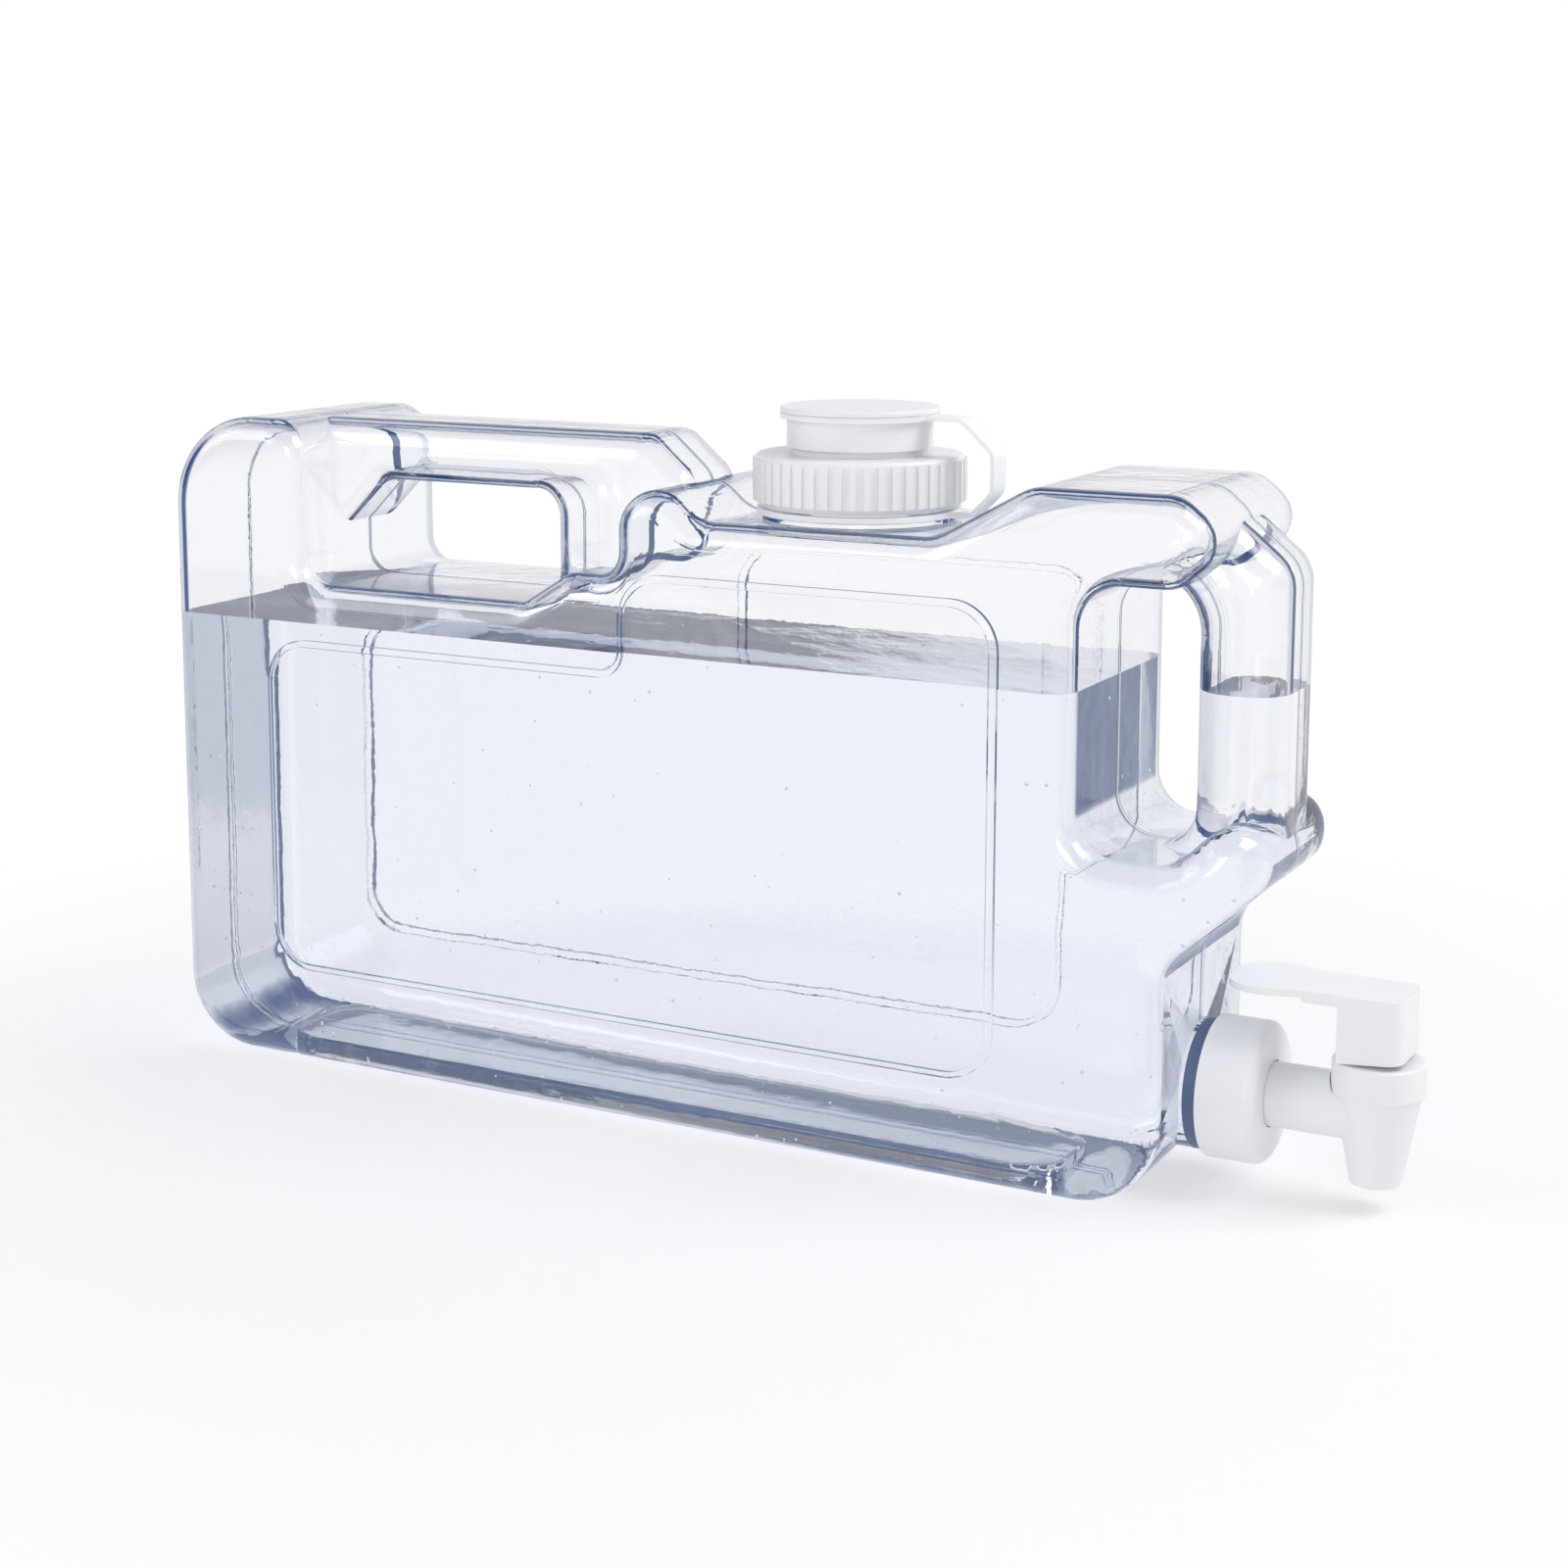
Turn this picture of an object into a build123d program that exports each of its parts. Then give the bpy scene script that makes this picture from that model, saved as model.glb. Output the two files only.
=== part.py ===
from build123d import *
import os

# Slim water carboy with a hollow handle, a screw cap with a push-on lid and a self-closing tap.
# Millimetres, +Z up, +X towards the tap. X and Z below are measured from the left end wall and
# the base, Y from the middle plane. Every piece is moved at the end, so that the origin lies
# under the middle of the whole object.
os.makedirs("parts", exist_ok=True)

# Bottle, overall
bottle_width = 78.0
bottle_wall = 2.0
cut_margin = 1.0
soft_margin = 0.5
match_tolerance = 0.01
body_length = 328.5
edge_radius = 7.5
corner_radius = 9.5
end_radius = 27.0
base_corner = 24.0
slope_radius = 12.0

# Left column and handle opening
left_column = 49.5
handle_top = 202.5
column_corner = 28.0
column_inner_corner = 12.0
handle_opening = 78.5
handle_floor = 152.0
handle_gap = 31.0
handle_chamfer = 14.0
pocket_ramp_run = 16.0
pocket_ramp_rise = 10.0
pocket_ledge = 17.5
handle_thickness = 36.0
handle_edge_radius = 8.5
handle_drop = 0.8
handle_overlap = 25.0
core_inset = 1.2
core_overlap = 13.0
core_sink = 0.4
pocket_radius = 8.0

# Shoulder, cap flat and hump
shoulder_x = 161.0
shoulder_radius = 12.0
flat_start = 187.5
flat_top = 179.5
hump_run = 28.0
hump_top = 195.0
hump_length = 42.0
hump_chamfer_run = 24.0
hump_chamfer_drop = 20.0

# Finger grip at the right end
finger_floor = 96.0
finger_height = 74.0
finger_opening = 26.0
grip_width = 26.0
grip_edge_radius = 11.0
arm_flat = 1.4
grip_under_z = 69.0
grip_under_rise = 23.0
floor_margin = 1.5
ledge_run = 11.0
ledge_radius = 9.5
ledge_rise = 11.0
end_overshoot = 3.0
brow_run = 15.0
grip_inset = 0.8
finger_top_radius = 15.0
finger_floor_radius = 13.0

# Side panels and base
panel_depth = 1.5
panel_left = 38.5
panel_bottom = 32.0
panel_margin = 23.0
panel_step_x = 165.0
panel_step_z = 133.0
panel_top = 162.0
panel_radius = 12.0
base_recess_depth = 3.0
base_recess_margin = 34.0
base_recess_width = 42.0
base_recess_radius = 12.0

# Filler neck
neck_offset = 2.0
neck_radius = 26.5
neck_bore_radius = 24.0
neck_height = 15.1
neck_flare = 1.5
neck_flare_height = 1.1

# Screw cap, liner and spout
cap_radius = 30.0
cap_rib_height = 0.7
cap_rib_count = 48
cap_rib_width = 1.7
cap_gap_below = 3.5
cap_skirt_height = 15.0
cap_top_wall = 1.8
cap_clearance = 0.08
cap_edge = 1.2
cap_chamfer = 1.8
liner_height = 1.0
liner_inner_radius = 22.5
seat_gap = 0.3
spout_radius = 19.4
spout_bore_radius = 17.2
spout_height = 5.0

# Push-on lid and its seal
lid_wall = 1.3
lid_clearance = 0.3
lid_start = 2.0
lid_height = 11.5
lid_top_wall = 1.6
lid_lip = 1.9
plug_clearance = 0.6
plug_wall = 1.4
plug_depth = 1.7
lid_seal_height = 1.5
lid_web = 1.2
lid_edge = 0.5

# Tether strap
tether_thickness = 1.2
tether_width = 8.0
tether_reach = 13.0
tether_rise_x = 3.0
tether_fall = 9.0
tether_turn = 7.0
tether_radius = 5.0
tether_ring_height = 1.6
tether_ring_width = 2.6
tether_gap = 0.4

# Outlet boss, gasket and collar
outlet_z = 27.5
boss_flange_radius = 18.2
boss_flange = 1.0
boss_radius = 16.4
boss_bore_radius = 13.0
boss_length = 12.0
gasket_width = 4.0
thread_clearance = 0.1
collar_radius = 19.8
collar_wall_end = 4.5
collar_edge = 3.2
flange_seal_width = 1.5
tap_flange = 3.0
tap_flange_radius = 15.0

# Tap body
tap_reach = 50.0
tube_radius = 9.0
tube_bore_radius = 6.3
tube_clearance = 0.3
nozzle_bottom = 7.5
nozzle_radius = 6.9
nozzle_bore_radius = 4.6
barrel_top = 33.0
barrel_radius = 11.8
barrel_neck_radius = 10.3
barrel_neck_height = 6.0
barrel_bore_radius = 7.4
seat_z = 19.0
seat_lip = 0.6
seat_lip_width = 1.0
bump_radius = 5.0
bump_x = 18.2
bump_z = 31.5

# Bonnet, seals, washer and spring
bonnet_radius = 12.6
bonnet_height = 9.0
bonnet_plate = 2.0
bonnet_edge = 1.0
stem_seal_width = 1.6
stem_seal_height = 1.2
washer_thickness = 1.2
slip_clearance = 0.06
washer_gap = 0.2
spring_gap = 0.3
wire_radius = 0.45
spring_radius = 5.0
spring_turns = 5.5

# Stem and valve cup
stem_radius = 3.0
stem_flange_radius = 6.3
stem_flange_height = 1.6
cup_radius = 6.0
cup_height = 1.7
cup_stud_radius = 2.5
pivot_height = 9.0
head_radius = 5.4
trunnion_radius = 2.4
trunnion_gap = 0.2
trunnion_depth = 1.8
head_lift = 2.8

# Lever
cheek_wall = 3.0
lever_width = 21.0
cheek_heel = 9.0
cheek_toe = 8.5
heel_gap = 0.3
toe_lift = 1.4
lever_end_wall = 2.5
lever_top_rise = 10.0
lever_head_plate = 3.2
paddle_length = 41.0
paddle_width = 26.0
paddle_thickness = 2.0
paddle_step = 19.0
lever_corner = 4.0
paddle_flat = 3.0

# Worked out from the sizes above
half_width = bottle_width / 2
finger_wall_x = body_length - finger_opening
grip_x = body_length + grip_width
plan_end = grip_x + end_overshoot
finger_end = body_length
finger_top = finger_floor + finger_height
hump_end = grip_x - hump_chamfer_run
hump_start = hump_end - hump_length
flat_end = hump_start - hump_run
neck_x = (flat_start + flat_end) / 2 - neck_offset
panel_right = finger_wall_x - panel_margin
recess_end = left_column + handle_opening + pocket_ramp_run + pocket_ledge
tap_x = body_length + tap_reach
total_length = tap_x + bonnet_radius
slope_run = flat_start - shoulder_x
slope_rise = handle_top - flat_top
neck_top = flat_top + neck_height
cap_bottom = flat_top + cap_gap_below
cap_top = cap_bottom + cap_skirt_height
spout_top = cap_top + spout_height
lid_bottom = cap_top + lid_start
lid_top = lid_bottom + lid_height
lid_radius = spout_radius + lid_clearance + lid_wall
boss_end = body_length + boss_length
collar_start = body_length + boss_flange + gasket_width
tap_flange_start = boss_end + flange_seal_width
collar_inner_end = tap_flange_start + tap_flange
bonnet_top = barrel_top + bonnet_height
pivot_z = bonnet_top + pivot_height
washer_top = bonnet_top - bonnet_plate - seat_gap
stem_flange_bottom = seat_z + seat_lip + seat_gap + cup_height
stem_flange_top = stem_flange_bottom + stem_flange_height


def rounded_outline(corners):
    """Face in the side view from (x, z, radius) corners, each corner rounded by its radius."""
    face = make_face(Polyline(*[(x, z) for x, z, _ in corners], close=True))
    for x, z, radius in corners:
        corner = face.vertices().sort_by_distance(Vector(x, z, 0))[0]
        face = fillet(corner, radius)
    return face


def slab(outline, inset, thickness, radius):
    """Outline drawn in by the inset, given a thickness across Y, with both face rims rounded."""
    face = offset(outline, amount=-inset) if inset else outline
    half = thickness / 2 - inset
    solid = extrude(face, amount=half, both=True)
    rims = [e for e in solid.edges() if abs(abs(e.center().Z) - half) < match_tolerance]
    return Plane.XZ * fillet(rims, radius - inset)


def tube(inner, outer, start, end, centre_x=0.0):
    """Ring about the Z axis through centre_x."""
    ring = Circle(outer) - Circle(inner) if inner > 0 else Circle(outer)
    return Pos(centre_x, 0, start) * extrude(ring, amount=end - start)


def tube_x(inner, outer, start, end):
    """Ring about the outlet's axis, which runs along X."""
    ring = Circle(outer) - Circle(inner) if inner > 0 else Circle(outer)
    return Pos(start, 0, outlet_z) * (Plane.YZ * extrude(ring, amount=end - start))


def body_outline():
    """Side view of the full-width body, with the handle and finger recesses cut out of it."""
    ledge_x = finger_end + floor_margin + ledge_run
    ledge_z = finger_floor + ledge_rise
    brow_x = finger_end + floor_margin + brow_run
    brow_z = hump_top - (brow_x - hump_end) * hump_chamfer_drop / hump_chamfer_run
    shoulder_z = flat_top + (flat_start - recess_end) * slope_rise / slope_run
    return rounded_outline([
        (0, 0, base_corner),
        (body_length, 0, base_corner),
        (body_length, grip_under_z, slope_radius),
        (grip_x, grip_under_z + grip_under_rise, slope_radius),
        (grip_x, ledge_z, ledge_radius),
        (ledge_x, ledge_z, ledge_radius),
        (finger_end + floor_margin, finger_floor, pocket_radius),
        (finger_wall_x, finger_floor, slope_radius),
        (finger_wall_x, finger_top, slope_radius),
        (finger_end + floor_margin, finger_top, pocket_radius),
        (brow_x, brow_z, corner_radius),
        (hump_end, hump_top, slope_radius),
        (hump_start, hump_top, slope_radius),
        (flat_end, flat_top, slope_radius),
        (flat_start, flat_top, slope_radius),
        (recess_end, shoulder_z, shoulder_radius),
        (recess_end, handle_floor + pocket_ramp_rise, pocket_radius),
        (recess_end - pocket_ledge, handle_floor + pocket_ramp_rise, corner_radius),
        (left_column + handle_opening, handle_floor, pocket_radius),
        (left_column, handle_floor, pocket_radius),
        (left_column, handle_top, column_inner_corner),
        (0, handle_top, column_corner),
    ])


def is_rim(edge, inset):
    """Whether an edge runs along the body's side walls, which curve together at the right end."""
    centre_x = plan_end - end_radius
    centre_y = half_width - end_radius
    points = [edge @ 0, edge @ 0.5, edge @ 1]
    gaps = []
    for p in points:
        run = max(p.X - centre_x, 0)
        rise = max(abs(p.Y) - centre_y, 0)
        gaps.append(abs((run**2 + rise**2) ** 0.5 - end_radius + inset))
    return max(gaps) < match_tolerance


def body_form(inset):
    """Full-width body: the side view across the width, rounded in plan towards the grip."""
    outline = body_outline()
    face = offset(outline, amount=-inset) if inset else outline
    half = half_width - inset
    right = plan_end - inset
    plan = make_face(Polyline((0, -half), (right, -half), (right, half), (0, half), close=True))
    plan = fillet(plan.vertices().sort_by(Axis.X)[-2:], end_radius - inset)
    solid = Plane.XZ * extrude(face, amount=half, both=True) & extrude(plan, amount=handle_top)
    rims = [edge for edge in solid.edges() if is_rim(edge, inset)]
    return fillet(rims, edge_radius - inset)


def handle_outline():
    """Side view of the narrow handle bar and the web beside it, with the hand opening."""
    slope_length = (slope_run**2 + slope_rise**2) ** 0.5
    line_x = shoulder_x - core_inset * slope_rise / slope_length
    line_z = handle_top - core_inset * slope_run / slope_length
    top = handle_top - handle_drop
    right = recess_end + core_overlap
    left = left_column - handle_overlap
    right_z = line_z + (line_x - right) * slope_rise / slope_run
    soft = handle_edge_radius + soft_margin
    bar = rounded_outline([
        (left, handle_floor - handle_overlap, soft),
        (right, handle_floor - handle_overlap, soft),
        (right, right_z, soft),
        (line_x - (top - line_z) * slope_run / slope_rise, top, soft),
        (left, top, soft),
    ])
    far = left_column + handle_opening
    roof = handle_floor + handle_gap
    hidden = left_column - core_overlap / 2
    opening = rounded_outline([
        (hidden, handle_floor - core_sink, pocket_radius / 2),
        (far, handle_floor - core_sink, pocket_radius),
        (far, roof, pocket_radius),
        (left_column + handle_chamfer, roof, pocket_radius),
        (hidden, roof - handle_chamfer - core_overlap / 2, pocket_radius / 2),
    ])
    return bar - opening


def grip_outline():
    """Side view of the narrow finger grip, with the arms that carry it into the full body."""
    under_run = grip_x - body_length
    under_length = (under_run**2 + grip_under_rise**2) ** 0.5
    under_x = body_length - core_inset * grip_under_rise / under_length
    under_z = grip_under_z + core_inset * under_run / under_length
    chamfer_length = (hump_chamfer_run**2 + hump_chamfer_drop**2) ** 0.5
    brow_x = hump_end - core_inset * hump_chamfer_drop / chamfer_length
    brow_z = hump_top - core_inset * hump_chamfer_run / chamfer_length
    outer = grip_x - grip_inset
    back = finger_wall_x - core_overlap / 2
    low = finger_floor - core_sink
    high = finger_top + core_sink
    arm = 2 * grip_edge_radius + arm_flat
    soft = grip_edge_radius + soft_margin
    return rounded_outline([
        (back, low - arm, soft),
        (under_x + (low - arm - under_z) * under_run / grip_under_rise, low - arm, soft),
        (outer, under_z + (outer - under_x) * grip_under_rise / under_run, soft),
        (outer, brow_z - (outer - brow_x) * hump_chamfer_drop / hump_chamfer_run, soft),
        (brow_x + (brow_z - high - arm) * hump_chamfer_run / hump_chamfer_drop, high + arm, soft),
        (back, high + arm, soft),
        (back, high, soft),
        (finger_end, high, finger_top_radius),
        (finger_end, low, finger_floor_radius),
        (back, low, soft),
    ])


def panel_cut(inset):
    """The two stepped side panels, sunk into the faces that lie this far inside the surface."""
    outline = rounded_outline([
        (panel_left, panel_bottom, panel_radius),
        (panel_right, panel_bottom, panel_radius),
        (panel_right, panel_top, panel_radius),
        (panel_step_x, panel_top, panel_radius),
        (panel_step_x, panel_step_z, pocket_radius),
        (panel_left, panel_step_z, panel_radius),
    ])
    face = offset(outline, amount=inset) if inset else outline
    near = half_width - inset - panel_depth
    cut = Plane.XZ * (Pos(0, 0, near) * extrude(face, amount=panel_depth + cut_margin))
    return cut + mirror(cut, Plane.XZ)


def base_cut(inset):
    """The raised floor panel that leaves a foot ring round the base."""
    length = body_length - 2 * base_recess_margin + 2 * inset
    plan = RectangleRounded(length, base_recess_width + 2 * inset, base_recess_radius + inset)
    return Pos(body_length / 2, 0, inset - cut_margin) * extrude(plan, amount=base_recess_depth + cut_margin)


def bottle_form(inset):
    """Outer surface of the moulded body, or the space inside it when drawn in by the wall."""
    body = body_form(inset) - panel_cut(inset) - base_cut(inset)
    bar = slab(handle_outline(), inset, handle_thickness, handle_edge_radius)
    grip = slab(grip_outline(), inset, handle_thickness, grip_edge_radius)
    return body + bar + grip


def build_bottle():
    """Clear one-piece body with its filler neck and outlet boss."""
    outside = bottle_form(0)
    outside += tube(0, neck_radius, flat_top - 2 * bottle_wall, neck_top, neck_x)
    outside += tube(0, neck_radius + neck_flare, flat_top - bottle_wall,
                    flat_top + neck_flare_height, neck_x)
    outside += tube_x(0, boss_flange_radius, body_length - base_corner / 2,
                      body_length + boss_flange)
    outside += tube_x(0, boss_radius, body_length, boss_end)
    inside = bottle_form(bottle_wall)
    inside += tube(0, neck_bore_radius, flat_top - 3 * bottle_wall, neck_top + cut_margin, neck_x)
    inside += tube_x(0, boss_bore_radius, body_length - 3 * bottle_wall, boss_end + cut_margin)
    return outside - inside


def build_screw_cap():
    """Ribbed cap that screws on the neck, with the pouring spout in its top."""
    core = tube(0, cap_radius, cap_bottom, cap_top, neck_x)
    core = fillet(core.edges().sort_by(Axis.Z)[-1], cap_edge)
    core = chamfer(core.edges().sort_by(Axis.Z)[0], cap_chamfer)
    rib = Rectangle(2 * cap_rib_height, cap_rib_width)
    ribs = Sketch() + [loc * rib for loc in PolarLocations(cap_radius, cap_rib_count)]
    rib_height = cap_skirt_height - cap_edge - cap_chamfer
    core += Pos(neck_x, 0, cap_bottom + cap_chamfer) * extrude(ribs, amount=rib_height)
    core += tube(0, spout_radius, cap_top, spout_top, neck_x)
    bore = neck_radius + cap_clearance
    core -= tube(0, bore, cap_bottom - cut_margin, cap_top - cap_top_wall, neck_x)
    core -= tube(0, spout_bore_radius, cap_bottom, spout_top + cut_margin, neck_x)
    return core


def build_cap_liner():
    """Soft ring under the cap's top, over the lip of the neck."""
    top = cap_top - cap_top_wall - seat_gap
    return tube(liner_inner_radius, neck_radius - seat_gap, top - liner_height, top, neck_x)


def build_push_lid():
    """Lid pushed over the spout, with a plug ring, a web for its seal and a lip to lift it by."""
    lid = tube(lid_radius - lid_wall, lid_radius, lid_bottom, lid_top, neck_x)
    lid += tube(0, lid_radius + lid_lip, lid_top - lid_top_wall, lid_top, neck_x)
    plug = spout_bore_radius - plug_clearance
    lid += tube(plug - plug_wall, plug, spout_top - plug_depth, lid_top, neck_x)
    web = spout_top + seat_gap + lid_seal_height
    lid += tube(plug, lid_radius - lid_wall, web, web + lid_web, neck_x)
    rim = lid.edges().filter_by(GeomType.CIRCLE).sort_by(Axis.Z)[-1]
    return fillet(rim, lid_edge)


def build_lid_seal():
    """Soft ring in the lid, over the lip of the spout."""
    start = spout_top + seat_gap
    inner = spout_bore_radius - plug_clearance + thread_clearance
    outer = spout_radius + lid_clearance - thread_clearance
    return tube(inner, outer, start, start + lid_seal_height, neck_x)


def build_tether_strap():
    """Thin strap with one ring round the lid and one under the cap, bowed out to the side."""
    lid_ring_top = lid_top - lid_top_wall - thread_clearance
    lid_ring_z = lid_ring_top - tether_ring_height / 2
    cap_ring_top = cap_bottom - tether_gap
    cap_ring_z = cap_ring_top - tether_ring_height / 2
    cap_ring_inner = neck_radius + tether_gap
    strap = tube(lid_radius + thread_clearance, lid_radius + lid_lip,
                 lid_ring_top - tether_ring_height, lid_ring_top, neck_x)
    strap += tube(cap_ring_inner, cap_ring_inner + tether_ring_width,
                  cap_ring_top - tether_ring_height, cap_ring_top, neck_x)
    reach = cap_radius + tether_reach
    path = FilletPolyline(
        (neck_x + lid_radius + lid_lip / 2, lid_ring_z),
        (neck_x + cap_radius + tether_rise_x, lid_ring_z),
        (neck_x + reach, lid_ring_z - tether_fall),
        (neck_x + reach, cap_ring_z + tether_turn),
        (neck_x + reach - tether_turn, cap_ring_z),
        (neck_x + cap_ring_inner + tether_ring_width / 2, cap_ring_z),
        radius=tether_radius,
    )
    band = trace(path, line_width=tether_thickness)
    return strap + Plane.XZ * extrude(band, amount=tether_width / 2, both=True)


def build_outlet_gasket():
    """Soft ring between the bottle's flange and the collar."""
    return tube_x(boss_radius + thread_clearance, boss_flange_radius,
                  body_length + boss_flange, collar_start)


def build_tap_collar():
    """Round nut on the outlet boss that holds the tap's flange against it."""
    end = collar_inner_end + collar_wall_end
    nut = tube_x(0, collar_radius, collar_start, end)
    rims = nut.edges().filter_by(GeomType.CIRCLE).sort_by(Axis.X)
    nut = fillet(rims[-1], collar_edge)
    nut -= tube_x(0, boss_radius + thread_clearance, collar_start - cut_margin, collar_inner_end)
    nut -= tube_x(0, tube_radius + tube_clearance, collar_inner_end - cut_margin, end + cut_margin)
    return nut


def build_flange_seal():
    """Soft ring between the end of the boss and the tap's flange."""
    return tube_x(boss_bore_radius, tap_flange_radius, boss_end, tap_flange_start)


def build_tap_body():
    """Flange, inlet tube, tapered barrel and nozzle in one moulding, with the valve seat."""
    body = tube_x(0, tap_flange_radius, tap_flange_start, collar_inner_end)
    body += tube_x(0, tube_radius, tap_flange_start, tap_x)
    cone_height = barrel_top - nozzle_bottom
    body += Pos(tap_x, 0, nozzle_bottom + cone_height / 2) * Cone(
        nozzle_radius, barrel_radius, cone_height)
    body += Pos(tap_x - bump_x, 0, bump_z) * Sphere(bump_radius)
    neck_end = barrel_top + barrel_neck_height
    body += tube(0, barrel_neck_radius, barrel_top, neck_end, tap_x)
    body -= tube(barrel_neck_radius, bonnet_radius + tube_clearance, barrel_top,
                 neck_end + cut_margin, tap_x)
    body -= tube_x(0, tube_bore_radius, tap_flange_start - cut_margin, tap_x)
    body -= tube(0, barrel_bore_radius, seat_z, neck_end + cut_margin, tap_x)
    body -= tube(0, nozzle_bore_radius, nozzle_bottom - cut_margin, neck_end, tap_x)
    body += tube(nozzle_bore_radius, nozzle_bore_radius + seat_lip_width,
                 seat_z, seat_z + seat_lip, tap_x)
    return body


def build_tap_bonnet():
    """Round cover screwed over the barrel's neck, with the hole that guides the stem."""
    plate = bonnet_top - bonnet_plate
    cover = tube(0, bonnet_radius, barrel_top, bonnet_top, tap_x)
    cover = fillet(cover.edges().sort_by(Axis.Z)[-1], bonnet_edge)
    cover -= tube(0, barrel_neck_radius + thread_clearance, barrel_top - cut_margin, plate, tap_x)
    cover -= tube(0, stem_radius + slip_clearance, plate - cut_margin, bonnet_top + cut_margin, tap_x)
    cover -= tube(0, stem_radius + seat_gap + stem_seal_width, plate - cut_margin,
                  plate + stem_seal_height, tap_x)
    return cover


def build_bonnet_seal():
    """Soft ring between the barrel's rim and the bonnet's plate."""
    return tube(barrel_bore_radius + seat_gap, barrel_neck_radius,
                barrel_top + barrel_neck_height, bonnet_top - bonnet_plate, tap_x)


def build_stem_seal():
    """Soft ring round the stem, in the bonnet's counterbore."""
    start = bonnet_top - bonnet_plate
    inner = stem_radius + seat_gap
    return tube(inner, inner + stem_seal_width, start, start + stem_seal_height, tap_x)


def build_spring_washer():
    """Washer under the bonnet that the spring pushes on and turns with."""
    return tube(stem_radius + slip_clearance, barrel_bore_radius - washer_gap,
                washer_top - washer_thickness, washer_top, tap_x)


def build_return_spring():
    """Coil that pushes the stem down on its seat."""
    start = stem_flange_top + spring_gap + wire_radius
    height = washer_top - washer_thickness - spring_gap - wire_radius - start
    path = Helix(pitch=height / spring_turns, height=height, radius=spring_radius)
    wire = sweep(Plane(path @ 0, z_dir=path % 0) * Circle(wire_radius), path)
    return Pos(tap_x, 0, start) * wire


def build_tap_stem():
    """Plunger with its flange, its rod and the eye that carries the lever on two trunnions."""
    stem = tube(0, cup_stud_radius, stem_flange_bottom - cup_height / 2, stem_flange_top, tap_x)
    stem += tube(0, stem_flange_radius, stem_flange_bottom, stem_flange_top, tap_x)
    stem += tube(0, stem_radius, stem_flange_top, pivot_z, tap_x)
    cheek_face = lever_width / 2 - cheek_wall
    eye_width = 2 * (cheek_face - seat_gap)
    shank = pivot_height - head_lift
    stem += Pos(tap_x, 0, pivot_z - shank / 2) * Box(2 * head_radius, eye_width, shank)
    stem += Pos(tap_x, 0, pivot_z) * Rot(90, 0, 0) * Cylinder(head_radius, eye_width)
    trunnion = 2 * (cheek_face + trunnion_depth - trunnion_gap)
    stem += Pos(tap_x, 0, pivot_z) * Rot(90, 0, 0) * Cylinder(trunnion_radius, trunnion)
    return stem


def build_valve_cup():
    """Soft disc on the stem's stud that closes the seat."""
    start = stem_flange_bottom - cup_height
    cup = tube(0, cup_radius, start, stem_flange_bottom, tap_x)
    return cup - tube(0, cup_stud_radius, start + cup_height / 2, stem_flange_bottom + cut_margin, tap_x)


def build_tap_lever():
    """Lever with a broad paddle, two cheeks that turn on the stem and an end wall."""
    cheek = make_face(Polyline(
        (-cheek_heel, heel_gap - pivot_height),
        (cheek_toe, heel_gap - pivot_height + toe_lift),
        (cheek_toe, lever_top_rise),
        (-cheek_heel, lever_top_rise),
        close=True,
    ))
    lever = Plane.XZ * extrude(cheek, amount=lever_width / 2, both=True)
    hollow_start = -cheek_heel - cheek_wall
    hollow_length = cheek_toe - lever_end_wall - hollow_start
    hollow_height = lever_top_rise - lever_head_plate + pivot_height
    hollow_z = lever_top_rise - lever_head_plate - hollow_height / 2
    lever -= Pos(hollow_start + hollow_length / 2, 0, hollow_z) * Box(
        hollow_length, lever_width - 2 * cheek_wall, hollow_height)
    plate = Pos((cheek_toe - paddle_step) / 2, 0) * Rectangle(cheek_toe + paddle_step, lever_width)
    lever += Pos(0, 0, lever_top_rise - lever_head_plate) * extrude(plate, amount=lever_head_plate)
    paddle = make_face(Polyline(
        (-paddle_length, -paddle_width / 2),
        (-paddle_length + paddle_width / 2, -paddle_width / 2),
        (-paddle_step, -lever_width / 2),
        (0, -lever_width / 2),
        (0, lever_width / 2),
        (-paddle_step, lever_width / 2),
        (-paddle_length + paddle_width / 2, paddle_width / 2),
        (-paddle_length, paddle_width / 2),
        close=True,
    ))
    tips = paddle.vertices().sort_by(Axis.X)[:2]
    paddle = fillet(tips, paddle_width / 2 - paddle_flat)
    lever += Pos(0, 0, lever_top_rise - paddle_thickness) * extrude(paddle, amount=paddle_thickness)
    socket = 2 * (lever_width / 2 - cheek_wall + trunnion_depth)
    lever -= Rot(90, 0, 0) * Cylinder(trunnion_radius + slip_clearance, socket)
    corners = lever.edges().filter_by(Axis.Z).group_by(Axis.X)[-1]
    lever = fillet(corners, lever_corner)
    return Pos(tap_x, 0, pivot_z) * lever


pieces = {
    "bottle": build_bottle,
    "screw_cap": build_screw_cap,
    "cap_liner": build_cap_liner,
    "push_lid": build_push_lid,
    "lid_seal": build_lid_seal,
    "tether_strap": build_tether_strap,
    "outlet_gasket": build_outlet_gasket,
    "tap_collar": build_tap_collar,
    "flange_seal": build_flange_seal,
    "tap_body": build_tap_body,
    "tap_bonnet": build_tap_bonnet,
    "bonnet_seal": build_bonnet_seal,
    "stem_seal": build_stem_seal,
    "spring_washer": build_spring_washer,
    "return_spring": build_return_spring,
    "tap_stem": build_tap_stem,
    "valve_cup": build_valve_cup,
    "tap_lever": build_tap_lever,
}

for name, build in pieces.items():
    shape = Pos(-total_length / 2, 0, 0) * build()
    export_step(shape, "parts/" + name + ".step")
    print(name, "volume", round(shape.volume, 1), "valid", shape.is_valid)
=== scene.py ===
import math

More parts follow.
